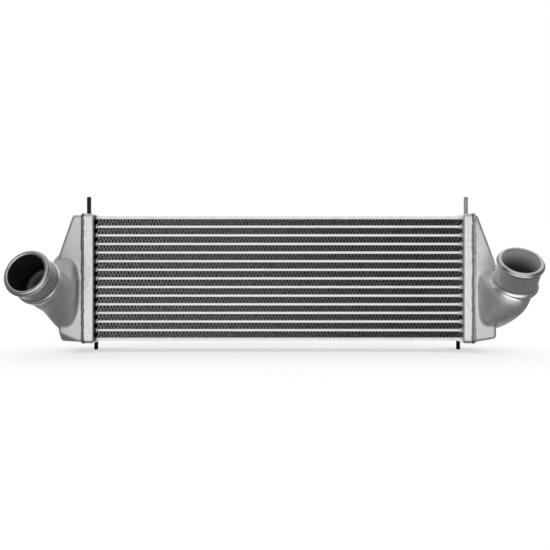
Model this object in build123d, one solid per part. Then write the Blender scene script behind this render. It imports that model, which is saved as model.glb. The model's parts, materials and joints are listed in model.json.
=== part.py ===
from build123d import *
from dataclasses import dataclass
from math import cos, hypot, pi, sin
import os

# An air-to-air intercooler of the tube-and-fin kind: a brazed core of flat tubes and corrugated
# fins between two pressed header plates, with a hollow cast end tank welded to each of them.
# X runs along the tubes, -Y is the side that faces the wind, Z is up, all in millimetres.
# The origin is the middle of the lower side plate's web, on its underside.

# Core
core_length = 530.0        # between the two header plates
core_depth = 64.0          # a tube's width, from the front edge to the back edge
tube_count = 13
tube_height = 4.6
tube_corner = 1.3          # radius of a tube's corners
tube_wall = 0.45
fin_height = 7.9           # the gap between two tubes
fin_sheet = 0.3
fin_pitch = 12.9           # one wave of a fin strip
fin_end_gap = 2.5          # from a strip's end to the header plate
inner_fin_sheet = 0.25
inner_fin_pitch = 10.0     # one wave of the turbulator inside a tube
side_plate_sheet = 1.5
side_plate_flange = 4.9    # height of the plate's turned-up edges

# Header plates
header_over = 8.3          # how far the pan stands above and below the stack of tubes
header_side = 12.0         # how far it stands out in front of and behind the core
header_depth = 14.5        # of the pressed pan, from the core's end to its rim
header_sheet = 3.0
header_corner = 6.0        # radius of the pan's four corners
header_bend = 3.5          # outer radius where the pan's floor turns into its rim
tube_end_reach = 3.0       # how far a tube's end stands out inside the header

# Tanks
tank_wall = 3.5
rim_step = 2.0             # the tank's rim lies this far inside the header's edge
collar_length = 4.5        # straight part of the tank next to the weld
tank_edge = 4.0            # radius of the casting's outer edges
weld_leg = 3.2
weld_round = 1.7

# Hose ports
barrel_radius = 30.0
bead_height = 2.5          # of the bead and of the ring that stops the hose, above the barrel
bead_back = 4.4            # from the mouth to the bead's crest
bead_half = 3.4            # half the bead's width at its foot
lip_height = 0.8
lip_length = 1.0
ring_half = 4.0
core_step = 0.4            # the cast passage is this much wider than the bore
neck_step = 0.3            # the duct's neck is this much slimmer than the barrel
neck_reach = 3.0           # how far the neck runs on inside the barrel

# Locating pins
pin_radius = 3.0
tenon_radius = 2.2         # of the slimmer end that passes through the header's rim
pin_chamfer = 0.8
top_pin_length = 25.0
top_pin_y = -28.0
bottom_pin_length = 14.0
bottom_pin_y = 12.0

# Worked out from the sizes above
tube_pitch = tube_height + fin_height
stack_height = tube_count * tube_pitch + fin_height
mid_z = side_plate_sheet + stack_height / 2
core_end = core_length / 2
joint_x = core_end + header_depth
header_height = stack_height + 2 * header_over
header_width = core_depth + 2 * header_side
tank_height = header_height - 2 * rim_step
tank_width = header_width - 2 * rim_step
bore_radius = barrel_radius - tank_wall
bead_radius = barrel_radius + bead_height
lip_radius = barrel_radius + lip_height


@dataclass
class Section:
    """A rounded cross-section of a duct, facing along a direction."""
    centre: tuple          # outward from the weld, back from the tank's front, up from its underside
    facing: tuple
    wider: float           # half its width, less the barrel's radius
    taller: float          # half its height, less the barrel's radius
    squareness: float      # 2 is an ellipse, larger values are squarer


@dataclass
class Tank:
    """What sets one end tank apart from the other. Places are counted as in a section."""
    side: int              # -1 is the left tank, +1 the right one
    top_reach: float       # how far the top stands out from the weld
    foot_reach: float      # how far the foot stands out
    shoulder: float        # height above the underside where the slanted wall ends
    foot_rise: float       # how much the underside climbs toward the outside
    heel_cut: float        # bevel under the front, at its outer end
    mouth: tuple           # centre of the port's mouth
    axis: tuple            # way the port points
    land: float            # from the mouth to the middle of the stop ring
    straight: float        # length of straight pipe between the flare and the barrel
    blend: float           # radius where the duct runs into the tank, or 0
    root: Section          # the duct's section inside the tank
    throat: Section        # its section at the tank's front corner
    elbow: Section         # its section on the way to the neck
    top_pin: float         # from the core's end to the upper pin
    bottom_pin: float      # from the core's end to the lower pin


left_tank = Tank(
    side=-1, top_reach=16.5, foot_reach=37.0, shoulder=124.5, foot_rise=0.5, heel_cut=15.0,
    mouth=(51.5, -88.0, 100.0), axis=(0.18, -0.91, 0.374), land=34.0, straight=37.0, blend=5.0,
    root=Section((21.5, 37.0, 71.9), (0.92, -0.39, 0.0), 3.0, 18.3, 4.0),
    throat=Section((31.85, 13.8, 72.2), (0.527, -0.85, 0.0), -2.85, 26.0, 2.75),
    elbow=Section((34.7, -10.5, 75.55), (0.34, -0.91, 0.185), -1.85, 10.5, 2.075),
    top_pin=10.5, bottom_pin=10.5,
)
right_tank = Tank(
    side=1, top_reach=7.0, foot_reach=34.0, shoulder=111.5, foot_rise=5.0, heel_cut=0.0,
    mouth=(54.7, -40.0, 116.2), axis=(0.0, -0.641, 0.767), land=41.0, straight=0.0, blend=0.0,
    root=Section((19.5, 37.0, 57.0), (0.92, -0.39, 0.0), -1.0, 15.1, 5.0),
    throat=Section((32.5, 14.5, 64.0), (0.498, -0.867, 0.0), -1.0, 14.0, 5.0),
    elbow=Section((45.5, -3.5, 70.0), (0.5, -0.62, 0.5), 1.5, 5.0, 2.3),
    top_pin=7.5, bottom_pin=7.0,
)


def tube_face(x, z, inset):
    """A flat tube's section, facing along the core, or with an inset the space inside it."""
    plane = Plane(origin=(x, 0, z), x_dir=(0, 1, 0), z_dir=(1, 0, 0))
    return plane * RectangleRounded(core_depth - 2 * inset, tube_height - 2 * inset, tube_corner - inset)


def zigzag(length, height, sheet, pitch):
    """Outline of a folded strip, centred, with its crests at plus and minus half its height."""
    waves = max(2, round(length / pitch))
    step = length / waves / 2
    slice_height = sheet * hypot(step, height) / step
    upper, lower = [], []
    for i in range(2 * waves + 1):
        x = -length / 2 + i * step
        crest = height / 2 if i % 2 else slice_height - height / 2
        upper.append((x, crest))
        lower.append((x, crest - slice_height))
    return make_face(Polyline(*upper, *reversed(lower), close=True))


def tube_z(index):
    """Height of a tube's middle, counted from the top tube."""
    return mid_z + ((tube_count - 1) / 2 - index) * tube_pitch


def tube(index):
    """One flat tube, running through both header plates."""
    length = core_length + 2 * (header_sheet + tube_end_reach)
    outer, inner = (extrude(tube_face(-length / 2, tube_z(index), inset), length) for inset in (0, tube_wall))
    return outer - inner


def turbulator(index):
    """The folded strip inside a tube, which stirs the charge air."""
    width = core_depth - 2 * tube_height
    height = tube_height - 2 * tube_wall
    plane = Plane(origin=(-core_end, 0, tube_z(index)), x_dir=(0, 1, 0), z_dir=(1, 0, 0))
    return extrude(plane * zigzag(width, height, inner_fin_sheet, inner_fin_pitch), core_length)


def fin(index):
    """One corrugated strip, between two tubes or between a tube and a side plate."""
    z = tube_z(index) + tube_pitch / 2
    plane = Plane(origin=(0, core_depth / 2, z), x_dir=(1, 0, 0), z_dir=(0, -1, 0))
    return extrude(plane * zigzag(core_length - 2 * fin_end_gap, fin_height, fin_sheet, fin_pitch), core_depth)


def side_plate(up):
    """The channel that closes the core above (up = 1) or below (up = -1)."""
    seat = mid_z + up * stack_height / 2
    channel = Pos(0, 0, seat + up * side_plate_flange / 2) * Box(core_length, core_depth, side_plate_flange)
    trough = Pos(0, 0, seat + up * (side_plate_sheet + side_plate_flange / 2)) * Box(
        core_length, core_depth - 2 * side_plate_sheet, side_plate_flange)
    channel -= trough
    folds = channel.edges().filter_by(Axis.X).filter_by(
        lambda e: abs(e.center().Z - seat) < 0.01 and abs(abs(e.center().Y) - core_depth / 2) < 0.01)
    return fillet(folds, side_plate_sheet * 0.9)


def rim_face(x, width, height, corner):
    """A rounded rectangle across the end of the core, facing outward."""
    plane = Plane(origin=(x, 0, mid_z), x_dir=(0, 1, 0), z_dir=(1, 0, 0))
    return plane * RectangleRounded(width, height, corner)


def pin_places(t):
    """Where the upper and the lower pin stand on one header plate's rim."""
    top = (t.side * (core_end + t.top_pin), top_pin_y, mid_z + header_height / 2)
    bottom = (t.side * (core_end + t.bottom_pin), bottom_pin_y, mid_z - header_height / 2)
    return top, bottom


def header(t):
    """A pressed pan with a slot for every tube and a hole for each pin."""
    pan = extrude(rim_face(core_end, header_width, header_height, header_corner), header_depth)
    pan = fillet(pan.faces().sort_by(Axis.X)[0].edges(), header_bend)
    inside = extrude(rim_face(core_end + header_sheet, header_width - 2 * header_sheet,
                              header_height - 2 * header_sheet, header_corner - header_sheet), header_depth)
    pan -= inside
    for index in range(tube_count):
        pan -= extrude(tube_face(core_end, tube_z(index), 0), header_sheet)
    if t.side < 0:
        pan = mirror(pan, Plane.YZ)
    for x, y, z in pin_places(t):
        pan -= Pos(x, y, z) * Cylinder(tenon_radius, 2 * header_sheet)
    return pan


def pin(place, up, length):
    """A locating pin that stands on the header's rim, with its tenon set through it."""
    foot = (Align.CENTER, Align.CENTER, Align.MIN)
    body = Cylinder(pin_radius, length, align=foot)
    body = chamfer(body.edges().sort_by(Axis.Z)[-1], pin_chamfer)
    body += Pos(0, 0, -header_sheet) * Cylinder(tenon_radius, header_sheet, align=foot)
    if up < 0:
        body = mirror(body, Plane.XY)
    return Pos(*place) * body


def weld(side):
    """The fillet weld in the step between the header's rim and the tank."""
    bead = extrude(rim_face(joint_x, header_width - 0.6, header_height - 0.6, header_corner), weld_leg)
    bead = fillet(bead.faces().sort_by(Axis.X)[-1].edges(), weld_round)
    bead -= extrude(rim_face(joint_x, tank_width, tank_height, tank_edge), weld_leg)
    return mirror(bead, Plane.YZ) if side < 0 else bead


def tank_block(t, inset):
    """The tank without its port, or with an inset the space inside it."""
    half = tank_height / 2
    start = joint_x - 2 * inset
    outline = Polyline(
        (start, half), (joint_x + t.top_reach, half), (joint_x + t.foot_reach, t.shoulder - half),
        (joint_x + t.foot_reach, t.foot_rise - half), (joint_x + collar_length, -half), (start, -half), close=True)
    face = make_face(Plane.XZ * outline)
    if inset:
        face = offset(face, -inset, kind=Kind.INTERSECTION)
    block = extrude(face, tank_width / 2 - inset, both=True)
    if t.heel_cut:
        block -= heel(t, inset)
    rounded = block.edges() - block.faces().sort_by(Axis.X)[0].edges()
    return Pos(0, 0, mid_z) * fillet(rounded, tank_edge if not inset else tank_edge / 2)


def heel(t, inset):
    """What the bevel under the tank's front takes away."""
    outer_x = joint_x + t.foot_reach
    front, foot = -tank_width / 2, -tank_height / 2
    up = Vector(outer_x, front, foot + t.heel_cut)
    back = Vector(outer_x, front + t.heel_cut, foot)
    root = Vector(joint_x + collar_length, front, foot)
    normal = (up - back).cross(root - back).normalized()
    if normal.Y > 0:
        normal = -normal
    plane = Plane(origin=back - normal * inset, z_dir=normal)
    return extrude(plane * Rectangle(300, 300), 60)


def squared(value, power):
    """A sine or cosine flattened toward plus or minus one."""
    return 0.0 if abs(value) < 1e-9 else abs(value) ** power * (1 if value > 0 else -1)


def tank_point(outward, back, up):
    """A place counted from the weld, the tank's front face and its underside."""
    return Vector(joint_x + outward, back - tank_width / 2, up + mid_z - tank_height / 2)


def section_face(section, wall):
    """A squared-off ellipse in the section's own plane, less a wall."""
    half_width = barrel_radius + section.wider - wall
    half_height = barrel_radius + section.taller - wall
    return oval(tank_point(*section.centre), section.facing, half_width, half_height, section.squareness)


def oval(centre, facing, half_width, half_height, squareness):
    """A squared-off ellipse in four quarters that meet smoothly."""
    steps = 6
    power = 2 / squareness
    directions = [(0, 1), (-1, 0), (0, -1), (1, 0), (0, 1)]
    quarters = []
    for quarter in range(4):
        angles = [pi / 2 * (quarter + i / steps) for i in range(steps + 1)]
        points = [(half_width * squared(cos(a), power), half_height * squared(sin(a), power)) for a in angles]
        quarters.append(Spline(*points, tangents=(directions[quarter], directions[quarter + 1])))
    return upright_plane(centre, facing) * make_face(quarters)


def upright_plane(origin, facing):
    """A plane that faces a direction, with its X level."""
    facing = Vector(*facing).normalized()
    across = Vector(0, 0, 1).cross(facing).normalized()
    return Plane(origin=origin, x_dir=across, z_dir=facing)


def port_plane(t):
    """The plane of the port's mouth, facing the way the port points."""
    return upright_plane(tank_point(*t.mouth), t.axis)


def neck_face(t, back, radius):
    """The round section of the duct's neck, at a distance behind the port's mouth."""
    mouth = port_plane(t)
    return oval(mouth.origin - mouth.z_dir * back, t.axis, radius, radius, 2)


def duct(t, wall, radius):
    """The way from the tank into the barrel, as a solid of its outside or its inside."""
    end = t.land - neck_reach
    flare = [section_face(section, wall) for section in (t.root, t.throat, t.elbow)]
    neck = neck_face(t, end + t.straight, radius)
    way = loft([*flare, neck])
    return way + loft([neck, neck_face(t, end, radius)]) if t.straight else way


def barrel(t):
    """The turned part of the port: mouth, lip, bead, hose seat and stop ring, not yet bored."""
    foot = -t.land - ring_half
    outline = Wire([
        Edge.make_line((0, 0, foot), (barrel_radius - 2 * neck_step, 0, foot)),
        Edge.make_three_point_arc((barrel_radius - 2 * neck_step, 0, foot), (bead_radius, 0, -t.land),
                                  (barrel_radius, 0, ring_half - t.land)),
        Edge.make_line((barrel_radius, 0, ring_half - t.land), (barrel_radius, 0, -bead_back - bead_half)),
        Edge.make_three_point_arc((barrel_radius, 0, -bead_back - bead_half), (bead_radius, 0, -bead_back),
                                  (barrel_radius, 0, bead_half - bead_back)),
        Edge.make_line((barrel_radius, 0, bead_half - bead_back), (lip_radius, 0, -lip_length)),
        Edge.make_line((lip_radius, 0, -lip_length), (lip_radius - lip_length, 0, 0)),
        Edge.make_line((lip_radius - lip_length, 0, 0), (0, 0, 0)),
        Edge.make_line((0, 0, 0), (0, 0, foot)),
    ])
    return port_plane(t) * revolve(make_face(outline), Axis.Z)


def tank(t):
    """A hollow casting: the box on the header, the duct and the hose port in one piece."""
    body = tank_block(t, 0)
    way = duct(t, 0, barrel_radius - neck_step)
    outside = body + way
    if t.blend:
        walls = body.shells()[0], way.shells()[0]
        seams = outside.edges().filter_by(
            lambda e: all(w.distance_to(e @ k) < 0.01 for w in walls for k in (0.3, 0.6)))
        outside = fillet(seams, t.blend)
    inside = tank_block(t, tank_wall) + duct(t, tank_wall, bore_radius + core_step)
    bore = port_plane(t) * Cylinder(bore_radius, 2 * (t.land - neck_reach + neck_step))
    casting = outside + barrel(t) - inside - bore
    return mirror(casting, Plane.YZ) if t.side < 0 else casting


def write(name, shape):
    export_step(shape, f"parts/{name}.step")


def main():
    os.makedirs("parts", exist_ok=True)
    for index in range(tube_count):
        write(f"tube_{index + 1:02d}", tube(index))
        write(f"turbulator_{index + 1:02d}", turbulator(index))
    for index in range(tube_count + 1):
        write(f"fin_{index + 1:02d}", fin(index))
    write("side_plate_top", side_plate(1))
    write("side_plate_bottom", side_plate(-1))
    for t in (left_tank, right_tank):
        word = "left" if t.side < 0 else "right"
        top, bottom = pin_places(t)
        write(f"header_{word}", header(t))
        write(f"tank_{word}", tank(t))
        write(f"weld_{word}", weld(t.side))
        write(f"top_pin_{word}", pin(top, 1, top_pin_length))
        write(f"bottom_pin_{word}", pin(bottom, -1, bottom_pin_length))


main()
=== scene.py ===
"""Looks of a car's air-to-air intercooler: cast tanks, pressed headers, flat tubes and corrugated fins.

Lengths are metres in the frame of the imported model: X along the tubes, -Y into the wind, Z up.
"""
import json
from math import pi, radians
import bmesh
import bpy
from mathutils import Matrix, Vector


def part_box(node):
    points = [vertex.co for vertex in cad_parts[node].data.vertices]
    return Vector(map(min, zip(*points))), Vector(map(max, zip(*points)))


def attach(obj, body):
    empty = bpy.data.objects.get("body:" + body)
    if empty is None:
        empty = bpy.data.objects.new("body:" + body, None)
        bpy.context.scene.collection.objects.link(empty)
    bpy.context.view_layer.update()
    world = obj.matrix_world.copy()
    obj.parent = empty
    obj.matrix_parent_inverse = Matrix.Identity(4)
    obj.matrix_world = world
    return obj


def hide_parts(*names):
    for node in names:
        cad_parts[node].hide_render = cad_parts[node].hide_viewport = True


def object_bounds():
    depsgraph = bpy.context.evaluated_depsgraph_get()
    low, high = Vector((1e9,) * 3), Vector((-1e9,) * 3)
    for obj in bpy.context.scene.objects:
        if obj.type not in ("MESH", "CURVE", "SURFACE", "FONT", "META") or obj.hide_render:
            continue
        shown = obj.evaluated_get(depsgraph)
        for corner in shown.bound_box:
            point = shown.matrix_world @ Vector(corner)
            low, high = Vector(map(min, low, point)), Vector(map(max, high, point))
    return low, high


MM = 0.001
# How far behind the mouth each port's stop ring has its middle, in mm.
LAND = {"left": 34.0, "right": 41.0}
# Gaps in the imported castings' walls, which a real casting hasn't got: the middle of each, and the reach of
# the metal that closes it, in mm. They lie in the nook behind the right neck.
GAPS = {"left": (), "right": (((327, -24.5, 93.5), 10), ((314, -29, 98), 6))}
# A port's outline from its lip over the bead to the seat: depth behind the mouth and radius, in mm.
PROFILE = [(0.4, 26.3), (-0.1, 26.9), (-0.2, 29.4), (0.3, 30.3), (1.1, 30.9), (1.5, 30.4), (1.8, 30.6),
           (2.3, 31.7), (3.1, 32.5), (4.2, 32.8), (5.3, 32.6), (6.3, 31.8), (7.1, 30.6), (7.6, 30.2)]
# The stop ring's outline, from its middle.
RING = [(-5.0, 30.2), (-4.3, 30.5), (-3.2, 31.7), (-1.9, 32.6), (0.0, 32.9), (1.9, 32.7), (3.4, 32.0),
        (4.6, 30.6), (4.9, 26.3)]
# How fine the skins of the castings and of the welds are.
CASTING_GRAIN = 1.2 * MM
WELD_GRAIN = 0.6 * MM
# How many tubes and corrugated strips the core has, and how many waves each strip.
TUBES = 13
STRIPS = 14
WAVES = 105
# The width of a braze fillet between header and fins.
BRAZE = 2.5 * MM

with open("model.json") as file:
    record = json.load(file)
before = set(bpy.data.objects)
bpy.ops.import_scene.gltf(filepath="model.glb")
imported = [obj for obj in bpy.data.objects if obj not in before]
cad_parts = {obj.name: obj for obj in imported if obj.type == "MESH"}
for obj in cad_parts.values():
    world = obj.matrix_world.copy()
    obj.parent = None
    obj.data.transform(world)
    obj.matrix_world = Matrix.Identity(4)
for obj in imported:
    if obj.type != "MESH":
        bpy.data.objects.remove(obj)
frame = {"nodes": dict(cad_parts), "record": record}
cad_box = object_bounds()
nodes = frame["nodes"]


class Value:
    """A socket of a finish's node tree. Arithmetic on it adds Math nodes."""

    def __init__(self, finish, socket):
        self.finish = finish
        self.socket = socket

    def math(self, operation, *values):
        inputs = dict(enumerate(values))
        return self.finish.node("ShaderNodeMath", {"operation": operation}, inputs)

    def __add__(self, other):
        return self.math("ADD", self, other)

    def __radd__(self, other):
        return self.math("ADD", other, self)

    def __sub__(self, other):
        return self.math("SUBTRACT", self, other)

    def __rsub__(self, other):
        return self.math("SUBTRACT", other, self)

    def __mul__(self, other):
        return self.math("MULTIPLY", self, other)

    def __truediv__(self, other):
        return self.math("DIVIDE", self, other)

    def __abs__(self):
        return self.math("ABSOLUTE", self)

    def smaller(self, other):
        return self.math("MINIMUM", self, other)

    def larger(self, other):
        return self.math("MAXIMUM", self, other)

    def between(self, low, high):
        """Rises smoothly from 0 at low to 1 at high."""
        settings = {"interpolation_type": "SMOOTHSTEP"}
        inputs = {"Value": self, "From Min": low, "From Max": high}
        return self.finish.node("ShaderNodeMapRange", settings, inputs)


class Finish:
    """One material, made of a principled shader and what varies over its surface."""

    def __init__(self, name, metallic=1.0):
        self.material = bpy.data.materials.new(name)
        self.material.use_nodes = True
        self.tree = self.material.node_tree
        self.shader = self.tree.nodes["Principled BSDF"]
        self.shader.inputs["Metallic"].default_value = metallic
        self.place = self.node("ShaderNodeTexCoord", {}, {}, "Object")

    def node(self, kind, settings, inputs, output=0):
        """Adds a node, sets it, feeds its sockets with numbers or links, and gives one of its outputs."""
        made = self.tree.nodes.new(kind)
        for key, setting in settings.items():
            setattr(made, key, setting)
        for key, value in inputs.items():
            self.feed(made.inputs[key], value)
        return Value(self, made.outputs[output])

    def feed(self, socket, value):
        if isinstance(value, Value):
            self.tree.links.new(value.socket, socket)
        else:
            socket.default_value = value

    def shade(self, **inputs):
        for key, value in inputs.items():
            self.feed(self.shader.inputs[key.replace("_", " ")], value)

    def stretched(self, x=1.0, z=1.0):
        """The place on the piece, scaled along two axes, for a pattern with a grain."""
        return self.node("ShaderNodeMapping", {}, {"Vector": self.place, "Scale": (x, 1.0, z)})

    def noise(self, size, detail=2.0, place=None):
        """Soft noise from 0 to 1 whose blotches are about size metres across."""
        inputs = {"Vector": place or self.place, "Scale": 1 / size, "Detail": detail, "Roughness": 0.5}
        return self.node("ShaderNodeTexNoise", {}, inputs)

    def vector(self, operation, *values):
        """A vector worked out from vectors, or a number for a dot product or a length."""
        plain = operation in ("DOT_PRODUCT", "LENGTH")
        inputs = dict(enumerate(values))
        return self.node("ShaderNodeVectorMath", {"operation": operation}, inputs, int(plain))

    def axes(self, value):
        """The three numbers of a vector."""
        return [self.node("ShaderNodeSeparateXYZ", {}, {0: value}, axis) for axis in range(3)]

    def mix(self, share, first, second):
        """A colour between two, each a link or four numbers."""
        made = self.tree.nodes.new("ShaderNodeMix")
        made.data_type = "RGBA"
        self.feed(made.inputs[0], share)
        self.feed(made.inputs[6], first)
        self.feed(made.inputs[7], second)
        return Value(self, made.outputs[2])

    def bump(self, height, distance):
        """Relief from a height of 0 to 1 that stands for distance metres."""
        return self.node("ShaderNodeBump", {}, {"Height": height, "Distance": distance, "Strength": 1.0})


def grey(level):
    return (level, level, level, 1.0)


def port(word):
    """The middle of a hose port's mouth and the way the port points."""
    mount = next(m for m in frame["record"]["mounts"] if m["name"] == "port_" + word)
    axis = Vector(mount["axis"]).normalized()
    return Vector(mount["pos_m"]) + axis * mount["dims"]["length_mm"] / 2 * MM, axis


def cast_finish(word, cast_grey, seat_painted_grey, bore_near_painted, bore_deep_painted, fade, reach):
    """Satin cast metal with a painted highlight on the port's turned lip, bead and ring, painted shade
    beside them, and painted light and shade inside the bore.

    The greys are the casting's, the hose seat's (set per port as painted light), and the bore's painted ones
    near the mouth and further in; fade gives the depths between which the bore's painted grey changes, and
    reach how deep the painted bore goes, in mm.
    """
    finish = Finish("cast_" + word)
    mouth, axis = port(word)
    land = LAND[word]
    from_mouth = finish.vector("SUBTRACT", finish.place, mouth)
    depth = finish.vector("DOT_PRODUCT", from_mouth, axis) * (-1 / MM)
    aside = finish.vector("LENGTH", finish.vector("CROSS_PRODUCT", from_mouth, axis)) / MM

    def band(start, end, soft=0.6):
        """1 between two depths behind the mouth."""
        return depth.between(start - soft, start + soft) * (1 - depth.between(end - soft, end + soft))

    facing = finish.node("ShaderNodeNewGeometry", {}, {}, "Normal")
    outward = finish.vector("DOT_PRODUCT", facing, from_mouth) / MM
    outward = outward + finish.vector("DOT_PRODUCT", facing, axis) * depth
    inward = 1 - outward.between(-3, 3)
    inside = band(1.5, reach, 1.4) * (1 - aside.between(27.2, 27.8))
    inside = inside * inward.larger(1 - depth.between(4, 8))
    turned = (1 - aside.between(34, 35)) * (1 - depth.between(land + 4, land + 5)) * (1 - inside)
    # Painted highlight: a near-white grey on the turned lip, the bead and the stop ring's top, brightest on
    # the ring.
    highlight_crest = aside.between(30.5, 31.3) * (1 - depth.between(land + 2.5, land + 3.5))
    highlight_crest = turned * (highlight_crest + 1 - depth.between(0.5, 1.1)).smaller(1)
    # Painted shade: dark bands between the lip and the bead, behind the bead and in front of the stop ring.
    groove_shade = band(1.1, 2.3, 0.3) + band(6.8, 8.6) + band(land - 6.8, land - 5.3, 0.4)
    shaded = turned * groove_shade.smaller(1)
    grain = finish.noise(0.9 * MM, 3.0)
    skin = finish.noise(7 * MM, 3.0)
    cloud = finish.noise(60 * MM, 2.0)
    fleck = finish.noise(1.8 * MM, 3.0)
    blotch = (skin * 0.5 + cloud * 0.5).between(0.3, 0.7)
    cast = finish.mix(blotch, grey(cast_grey - 0.07), grey(cast_grey + 0.07))
    # The seat's grey differs per port as painted light: lighter on the right port, whose seat faces down
    # away from the light.
    seat = finish.mix(fleck.between(0.35, 0.65), grey(seat_painted_grey - 0.12), grey(seat_painted_grey + 0.12))
    colour = finish.mix(turned, cast, seat)
    highlight_grey = finish.mix(depth.between(12, 16), grey(0.80), grey(1.0))
    colour = finish.mix(highlight_crest, colour, highlight_grey)
    colour = finish.mix(shaded * 0.7, colour, grey(0.12))
    # The bore's greys are painted light and shade: the left bore is dark near its mouth with a painted light
    # patch on its far wall, the right one lighter near its mouth and dark further in.
    further_in = depth.between(*fade) * (0.8 + fleck * 0.2)
    bore = finish.mix(further_in, grey(bore_near_painted), grey(bore_deep_painted))
    finish.shade(Base_Color=finish.mix(inside, colour, bore), Metallic=1 - inside * 0.7,
                 Roughness=0.42 + skin * 0.16 - turned * 0.16 - highlight_crest * 0.08,
                 Normal=finish.bump(grain * 0.6 + skin * 0.4, 0.12 * MM))
    return finish.material


def pressed_finish():
    """Bright sheet with a blotchy grain, with painted shade along its rim beside the welds and along the
    left header's inner face by the core.
    """
    finish = Finish("pressed_alloy")
    streak = finish.noise(2.2 * MM, 3.0, finish.stretched(z=0.15))
    speck = finish.noise(1.6 * MM, 3.0)
    across = finish.axes(finish.place)[0]
    right = across.between(0, 1 * MM)
    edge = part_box("header_right")[1].x
    # Painted shade of the weld's groove: a wavy dark band along the header's outer rim, wider on the right.
    reach = edge - abs(across) + (finish.noise(9 * MM, 2.0) - 0.5) * 4 * MM
    width = 0.6 * MM + right * 1.6 * MM
    weld_groove_shade = 1 - ((reach - width) / (0.7 * MM)).between(0, 1)
    # Painted shade of the gap between the left header's inner face and the fins.
    inner = abs(across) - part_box("header_right")[0].x
    gap_shade = inner.between(-1 * MM, -0.4 * MM) * (1 - inner.between(0.2 * MM, 0.7 * MM)) * (1 - right)
    colour = finish.mix((streak * 0.6 + speck * 0.4).between(0.35, 0.65), grey(0.84), grey(1.0))
    colour = finish.mix(weld_groove_shade * 0.9, colour, grey(0.16))
    colour = finish.mix(gap_shade * 0.95, colour, grey(0.04))
    finish.shade(Base_Color=colour, Roughness=0.32 + speck * 0.2,
                 Normal=finish.bump(streak * 0.5 + speck * 0.5, 0.08 * MM))
    return finish.material


def braze_finish():
    """The fillet round a tube's end: a painted highlight along its middle between painted shade on both
    sides, painted bright all over on the right core end.
    """
    finish = Finish("braze_alloy")
    across = finish.axes(finish.place)[0]
    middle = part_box("header_right")[0].x - BRAZE / 2
    # Painted highlight along the middle, painted shade on the sides; on the right core end the whole fillet
    # is painted bright.
    highlight_crest = 1 - (abs(abs(across) - middle) / MM).between(0.35, 0.8)
    highlight_crest = highlight_crest.larger(across.between(0, 1 * MM))
    speck = finish.noise(1.5 * MM, 2.0)
    colour = finish.mix(highlight_crest, grey(0.10), grey(0.96))
    finish.shade(Base_Color=colour, Roughness=0.25 + speck * 0.2,
                 Normal=finish.bump(speck, 0.1 * MM))
    return finish.material


def tube_finish():
    finish = Finish("tube_alloy")
    streak = finish.noise(3 * MM, 2.0, finish.stretched(x=0.1))
    colour = finish.mix(streak.between(0.3, 0.7), grey(0.92), grey(1.0))
    finish.shade(Base_Color=colour, Roughness=0.36 + streak * 0.12)
    return finish.material


def fin_finish():
    """Thin sheet painted near black as the shade deep between its folds, with the metal's bright grey on its
    cut edges at the core's front and back.
    """
    finish = Finish("fin_alloy")
    blotch = finish.noise(6 * MM, 2.0)
    back = finish.axes(finish.place)[1]
    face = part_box("fin_01")[1].y
    cut = (abs(back) / MM).between(face / MM - 0.5, face / MM - 0.1)
    # Painted shade: the sheet's near-black grey stands in for the shade deep between the folds.
    sheet = finish.mix(blotch.between(0.3, 0.7), grey(0.06), grey(0.14))
    finish.shade(Base_Color=finish.mix(cut, sheet, grey(0.9)), Roughness=0.38 + blotch * 0.1)
    return finish.material


def weld_finish():
    """A rippled bead painted dark as the shade of the weld's groove, browned by heat on the upper left, with
    the casting's grey on its edge by the right tank, where the painted shade stops.
    """
    finish = Finish("weld_alloy")
    ripple = finish.noise(2.5 * MM, 2.0)
    across, back, up = finish.axes(finish.place)
    brown = finish.noise(9 * MM, 3.0).between(0.4, 0.6) * (1 - across.between(0, 1 * MM))
    brown = brown * up.between(95 * MM, 125 * MM)
    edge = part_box("weld_right")[0].x + 0.8 * MM
    # Where the painted shade stops: the bead's edge by the right tank.
    unshaded = (across - edge + (ripple - 0.5) * 1.2 * MM).between(0, 0.6 * MM)
    # Painted shade: the bead's dark greys stand in for the shade in the weld's groove.
    colour = finish.mix(brown, finish.mix(ripple, grey(0.16), grey(0.34)), (0.26, 0.20, 0.15, 1.0))
    colour = finish.mix(unshaded, colour, grey(0.74))
    finish.shade(Base_Color=colour, Roughness=0.4 + ripple * 0.15,
                 Normal=finish.bump(ripple, 0.3 * MM))
    return finish.material


def pin_finish(name, dark, light):
    """A threaded pin, with painted shade in the thread's roots."""
    finish = Finish(name)
    pitch = 1.25 * MM
    turn = finish.axes(finish.place)[2] * (2 * pi / pitch)
    thread = turn.math("SINE", turn) * 0.5 + 0.5
    patch = finish.noise(1.6 * MM, 2.0).between(0.35, 0.65)
    # Painted shade: the colour darkens in the thread's roots.
    colour = finish.mix(patch * 0.6 + thread * 0.4, grey(dark), grey(light))
    finish.shade(Base_Color=colour, Roughness=0.34 + patch * 0.1,
                 Normal=finish.bump(thread, 0.35 * MM))
    return finish.material


def paint(material, *starts):
    """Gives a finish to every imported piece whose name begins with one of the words."""
    for name, piece in nodes.items():
        if name.startswith(starts):
            piece.data.materials.clear()
            piece.data.materials.append(material)


def deselect():
    bpy.ops.object.select_all(action="DESELECT")


def work_on(piece):
    """Makes a piece the only one selected."""
    deselect()
    piece.select_set(True)
    bpy.context.view_layer.objects.active = piece


def shape(piece, name, **settings):
    """Adds a modifier and applies it."""
    work_on(piece)
    modifier = piece.modifiers.new(name.lower(), name)
    for key, value in settings.items():
        setattr(modifier, key, value)
    bpy.ops.object.modifier_apply(modifier=modifier.name)


def even_skin(piece, grain):
    """Makes a piece one closed skin of small, even faces."""
    shape(piece, "REMESH", mode="VOXEL", voxel_size=grain, use_smooth_shade=True)


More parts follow.
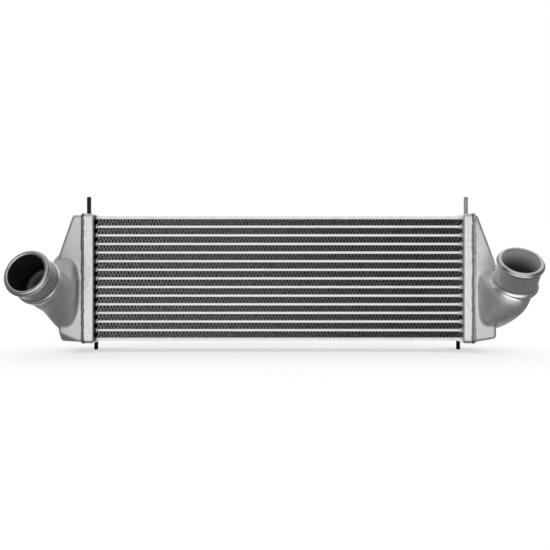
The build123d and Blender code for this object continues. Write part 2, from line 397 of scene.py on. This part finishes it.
def shift(piece, chosen, offset):
    """In edit mode, moves the points that are chosen by their place."""
    bpy.ops.mesh.select_all(action="DESELECT")
    mesh = bmesh.from_edit_mesh(piece.data)
    for point in mesh.verts:
        if chosen(point.co):
            point.select_set(True)
    mesh.select_flush(True)
    bmesh.update_edit_mesh(piece.data)
    bpy.ops.transform.translate(value=offset)


def settle(piece, name, material, slot, *replaced):
    """Puts a finished piece's place into its mesh, dresses it and hands it to the frame."""
    work_on(piece)
    bpy.ops.object.transform_apply(location=True, rotation=True, scale=True)
    piece.name = name
    piece.data.name = name
    piece.data.materials.clear()
    piece.data.materials.append(material)
    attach(piece, "root")
    if replaced:
        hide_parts(*replaced)


def copied(piece, name, offset):
    """A copy with its own mesh, moved by an offset."""
    twin = bpy.data.objects.new(name, piece.data.copy())
    twin.data.name = name
    twin.data.transform(Matrix.Translation(offset))
    bpy.context.scene.collection.objects.link(twin)
    return twin


def merged_copy(node):
    """A CAD node's mesh as one closed skin, in a new object."""
    piece = copied(nodes[node], node + "_skin", (0, 0, 0))
    work_on(piece)
    bpy.ops.object.mode_set(mode="EDIT")
    bpy.ops.mesh.select_all(action="SELECT")
    bpy.ops.mesh.remove_doubles(threshold=0.001 * MM)
    bpy.ops.object.mode_set(mode="OBJECT")
    return piece


def corrugated_strip():
    """Folds one wave from a flat sheet and repeats it along the core, at the place of the top strip.

    The folds zigzag from front to back, so the strip can't be seen through.
    """
    low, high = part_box("fin_01")
    sheet, zigzag = 0.3 * MM, -5 * MM
    pitch = (high.x - low.x) / WAVES
    rise = high.z - low.z - 1.2 * sheet
    columns, rows = 6, 4
    deselect()
    bpy.ops.mesh.primitive_grid_add(x_subdivisions=columns, y_subdivisions=rows, size=1)
    piece = bpy.context.object
    piece.scale = (pitch, high.y - low.y, 1)
    piece.location = (low.x + pitch / 2, (low.y + high.y) / 2, low.z + 0.6 * sheet)
    bpy.ops.object.transform_apply(location=True, rotation=True, scale=True)
    bpy.ops.object.mode_set(mode="EDIT")
    step, deep = pitch / columns, (high.y - low.y) / rows
    slide = step - 0.09 * pitch
    folds = [(0, 0, 0), (-slide, 0, 0.05 * rise), (slide, 0, 0.95 * rise), (0, 0, rise),
             (-slide, 0, 0.95 * rise), (slide, 0, 0.05 * rise), (0, 0, 0)]
    for column, fold in enumerate(folds):
        line = low.x + column * step
        shift(piece, lambda co: abs(co.x - line) < step / 8 and abs(co.z - low.z) < sheet, fold)
    for row in range(1, rows, 2):
        line = low.y + row * deep
        shift(piece, lambda co: abs(co.y - line) < deep / 4, (zigzag, 0, 0))
    bpy.ops.object.mode_set(mode="OBJECT")
    shape(piece, "ARRAY", count=WAVES, use_relative_offset=False, use_constant_offset=True,
          constant_offset_displace=(pitch, 0, 0), use_merge_vertices=True, merge_threshold=0.01 * MM)
    shape(piece, "SOLIDIFY", thickness=sheet, offset=0)
    return piece


def fins(material):
    """The corrugated strips, each a copy of the first, from the top down."""
    first = corrugated_strip()
    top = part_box("fin_01")[0].z
    for index in range(1, STRIPS + 1):
        node, name = f"fin_{index:02d}", f"strip_{index:02d}"
        offset = (0, 0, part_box(node)[0].z - top)
        settle(copied(first, name, offset), name, material, "fin_alloy", node)
    bpy.data.objects.remove(first)


def braze_fillets(word, material):
    """The rounded fillets round the tubes' ends, on the header's inner face, one for each tube."""
    side = -1 if word == "left" else 1
    low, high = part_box("tube_01")
    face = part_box("header_right")[0].x
    deselect()
    bpy.ops.mesh.primitive_cube_add(size=1)
    first = bpy.context.object
    first.scale = (BRAZE, high.y - low.y + BRAZE, high.z - low.z + BRAZE)
    first.location = (side * (face - BRAZE / 2), (low.y + high.y) / 2, (low.z + high.z) / 2)
    bpy.ops.object.transform_apply(location=True, rotation=True, scale=True)
    bpy.ops.object.mode_set(mode="EDIT")
    bpy.ops.mesh.select_all(action="SELECT")
    bpy.ops.mesh.bevel(offset=0.46 * BRAZE, segments=3)
    bpy.ops.object.mode_set(mode="OBJECT")
    drops = [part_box(f"tube_{index:02d}")[0].z - low.z for index in range(2, TUBES + 1)]
    rings = [copied(first, "ring", (0, 0, drop)) for drop in drops]
    work_on(first)
    for ring in rings:
        ring.select_set(True)
    bpy.ops.object.join()
    bpy.ops.object.shade_smooth()
    settle(first, "braze_" + word, material, "tube_alloy")


def turned_port(word):
    """The hose port as a turned sleeve: lip, bead, seat and stop ring, spun from their outline."""
    mouth, axis = port(word)
    radial = axis.cross(Vector((1, 0, 0))).normalized()
    ring = [(LAND[word] + depth, radius) for depth, radius in RING]
    (start, seat_radius), end, parts = PROFILE[-1], ring[0][0], 8
    seat = [(start + i * (end - start) / parts, seat_radius) for i in range(1, parts)]
    outline = PROFILE + seat + ring
    deselect()
    bpy.ops.mesh.primitive_circle_add(vertices=len(outline))
    piece = bpy.context.object
    bpy.ops.object.mode_set(mode="EDIT")
    mesh = bmesh.from_edit_mesh(piece.data)
    mesh.verts.ensure_lookup_table()
    for point, (depth, radius) in zip(mesh.verts, outline):
        point.co = mouth - axis * depth * MM + radial * radius * MM
    bmesh.update_edit_mesh(piece.data)
    bpy.ops.mesh.select_all(action="SELECT")
    bpy.ops.mesh.spin(steps=112, angle=2 * pi, center=mouth, axis=axis)
    bpy.ops.mesh.select_all(action="SELECT")
    bpy.ops.mesh.remove_doubles(threshold=0.01 * MM)
    bpy.ops.mesh.normals_make_consistent(inside=False)
    bpy.ops.object.mode_set(mode="OBJECT")
    work_on(piece)
    bpy.ops.object.shade_smooth_by_angle(angle=radians(50))
    return piece


def metal_across(piece, place, reach):
    """Closes a gap in a wall with a lump of metal that spans the points round it."""
    lump = copied(piece, "lump", (0, 0, 0))
    work_on(lump)
    bpy.ops.object.mode_set(mode="EDIT")
    bpy.ops.mesh.delete(type="ONLY_FACE")
    mesh = bmesh.from_edit_mesh(lump.data)
    for point in mesh.verts:
        point.select_set((point.co - place).length > reach)
    bmesh.update_edit_mesh(lump.data)
    bpy.ops.mesh.delete(type="VERT")
    bpy.ops.mesh.select_all(action="SELECT")
    bpy.ops.mesh.convex_hull()
    bpy.ops.mesh.normals_make_consistent(inside=False)
    bpy.ops.object.mode_set(mode="OBJECT")
    work_on(piece)
    lump.select_set(True)
    bpy.ops.object.join()


def soft_casting(word, material):
    """A tank with edges and corners that melt into each other as a casting's do, and its turned port.

    The foot of the duct is softened most, and the rim at the weld and the port stay firm.
    """
    piece = merged_copy("tank_" + word)
    even_skin(piece, CASTING_GRAIN)
    for place, reach in GAPS[word]:
        metal_across(piece, Vector(place) * MM, reach * MM)
    if GAPS[word]:
        even_skin(piece, CASTING_GRAIN)
    mouth, axis = port(word)
    weld = abs(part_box("weld_right")[0].x)
    port_depth, port_radius = LAND[word] + 6, 34
    firm, fading = 2.5, 3
    group = piece.vertex_groups.new(name="soft")
    for point in piece.data.vertices:
        depth = (mouth - point.co).dot(axis) / MM
        aside = (mouth - point.co).cross(axis).length / MM
        rim = (abs(point.co.x) - weld) / MM
        foot = point.co.y < -15 * MM and 15 * MM < point.co.z < 130 * MM
        weight = min(1.0 if foot else 0.5, max(0.0, (rim - firm) / fading))
        if depth < port_depth and aside < port_radius:
            weight = 0.0
        group.add([point.index], weight, "REPLACE")
    shape(piece, "SMOOTH", factor=0.5, iterations=28, vertex_group="soft")
    sleeve = turned_port(word)
    work_on(piece)
    sleeve.select_set(True)
    bpy.ops.object.join()
    settle(piece, "casting_" + word, material, "cast_alloy", "tank_" + word)


def weld_bead(word, material):
    """The weld with the uneven, rippled surface that a hand leaves."""
    piece = merged_copy("weld_" + word)
    even_skin(piece, WELD_GRAIN)
    shape(piece, "DISPLACE", strength=0.75 * MM, mid_level=0)
    for size, strength, direction in ((7, 2.4, "X"), (3.5, 1.1, "NORMAL")):
        cloud = bpy.data.textures.new("ripple", "CLOUDS")
        cloud.noise_scale = size * MM
        shape(piece, "DISPLACE", texture=cloud, texture_coords="LOCAL", direction=direction,
              strength=strength * MM, mid_level=0.5)
    settle(piece, "weld_bead_" + word, material, "weld_alloy", "weld_" + word)


def tent():
    """The studio in front of the object as reflections see it: a wide soft box, dim sides, a dark floor."""
    radius = 3.0
    deselect()
    bpy.ops.mesh.primitive_uv_sphere_add(segments=48, ring_count=24, radius=radius)
    piece = bpy.context.object
    piece.name = "tent"
    bpy.ops.object.mode_set(mode="EDIT")
    bpy.ops.mesh.select_all(action="DESELECT")
    mesh = bmesh.from_edit_mesh(piece.data)
    for face in mesh.faces:
        face.select_set(face.calc_center_median().y > 0.72 * radius)
    bmesh.update_edit_mesh(piece.data)
    bpy.ops.mesh.delete(type="FACE")
    bpy.ops.object.mode_set(mode="OBJECT")
    finish = Finish("tent", 0.0)
    across, back, up = finish.axes(finish.place)
    side = abs(across).between(0.35 * radius, 0.8 * radius)
    low = 1 - up.between(-0.8 * radius, -0.3 * radius)
    behind = back.between(-0.35 * radius, 0.05 * radius)
    light = (1.0 - side * 0.86) * (1 - up.between(0.3 * radius, 0.65 * radius) * 0.75)
    light = light * (1 - low) + low * 0.12
    light = light * (1 - behind) + behind * (0.15 + up.between(0, 0.9 * radius) * 0.5)
    glow = finish.mix(light, (0, 0, 0, 1), (1, 1, 1, 1))
    finish.shade(Base_Color=(0, 0, 0, 1), Specular_IOR_Level=0,
                 Emission_Color=glow, Emission_Strength=1)
    finish.material.cycles.emission_sampling = "NONE"
    piece.data.materials.append(finish.material)
    only_reflected(piece)


def only_reflected(piece):
    """A stage piece that nothing but reflections sees."""
    piece.visible_camera = False
    piece.visible_diffuse = False
    piece.visible_shadow = False
    piece.visible_transmission = False


def soft_box(place, size, radiance):
    """A rectangular lamp that looks at the object's middle."""
    data = bpy.data.lights.new("soft_box", "AREA")
    data.shape = "RECTANGLE"
    data.size, data.size_y = size
    data.energy = radiance * pi * size[0] * size[1]
    lamp = bpy.data.objects.new("soft_box", data)
    lamp.location = place
    aim = Vector((0, 0, 80 * MM)) - Vector(place)
    lamp.rotation_euler = aim.to_track_quat("-Z", "Y").to_euler()
    bpy.context.scene.collection.objects.link(lamp)


def studio():
    """White surroundings, a near-white floor, a soft tent in front and one lamp above."""
    world = bpy.data.worlds.new("studio")
    bpy.context.scene.world = world
    world.use_nodes = True
    world.node_tree.nodes["Background"].inputs["Color"].default_value = (1, 1, 1, 1)
    world.cycles.sampling_method = "NONE"
    deselect()
    bpy.ops.mesh.primitive_plane_add(size=40, location=(0, 0, cad_box[0][2]))
    floor = bpy.context.object
    floor.name = "floor"
    pale = Finish("floor", 0.0)
    pale.shade(Base_Color=(0.5, 0.5, 0.5, 1), Roughness=1.0, Specular_IOR_Level=0,
               Emission_Color=(1, 1, 1, 1), Emission_Strength=0.52)
    floor.data.materials.append(pale.material)
    floor.visible_glossy = False
    tent()
    soft_box((0, -1.3, 1.5), (1.8, 0.8), 0.35)


def photograph():
    """The camera, level with the core's middle and about a metre in front of it."""
    focal_px, image_px, sensor = 690.0, 550.0, 36.0
    data = bpy.data.cameras.new("camera")
    data.sensor_width = sensor
    data.lens = focal_px / image_px * sensor
    camera = bpy.data.objects.new("camera", data)
    middle = (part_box("fin_14")[0].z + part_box("fin_01")[1].z) / 2
    camera.location = (-5 * MM, -1032 * MM, middle + 5 * MM)
    camera.rotation_euler = (radians(90), 0, 0)
    bpy.context.scene.collection.objects.link(camera)
    bpy.context.scene.camera = camera


def main():
    bpy.context.scene.view_settings.view_transform = "Standard"
    photograph()
    studio()
    # The seat greys differ per port as painted light; the bore greys are painted light and shade.
    soft_casting("left", cast_finish("left", cast_grey=0.78, seat_painted_grey=0.66,
                                     bore_near_painted=0.02, bore_deep_painted=0.9, fade=(50, 56), reach=64))
    soft_casting("right", cast_finish("right", cast_grey=0.86, seat_painted_grey=0.88,
                                      bore_near_painted=0.55, bore_deep_painted=0.03, fade=(6, 36), reach=43))
    paint(pressed_finish(), "header", "side_plate")
    paint(tube_finish(), "tube")
    fin_metal = fin_finish()
    paint(fin_metal, "turbulator")
    fins(fin_metal)
    weld_metal = weld_finish()
    braze_metal = braze_finish()
    for word in ("left", "right"):
        weld_bead(word, weld_metal)
        braze_fillets(word, braze_metal)
    paint(pin_finish("pin_dark", 0.01, 0.10), "top_pin_left")
    paint(pin_finish("pin_black", 0.005, 0.03), "bottom_pin")
    paint(pin_finish("pin_bright", 0.35, 0.95), "top_pin_right")


main()
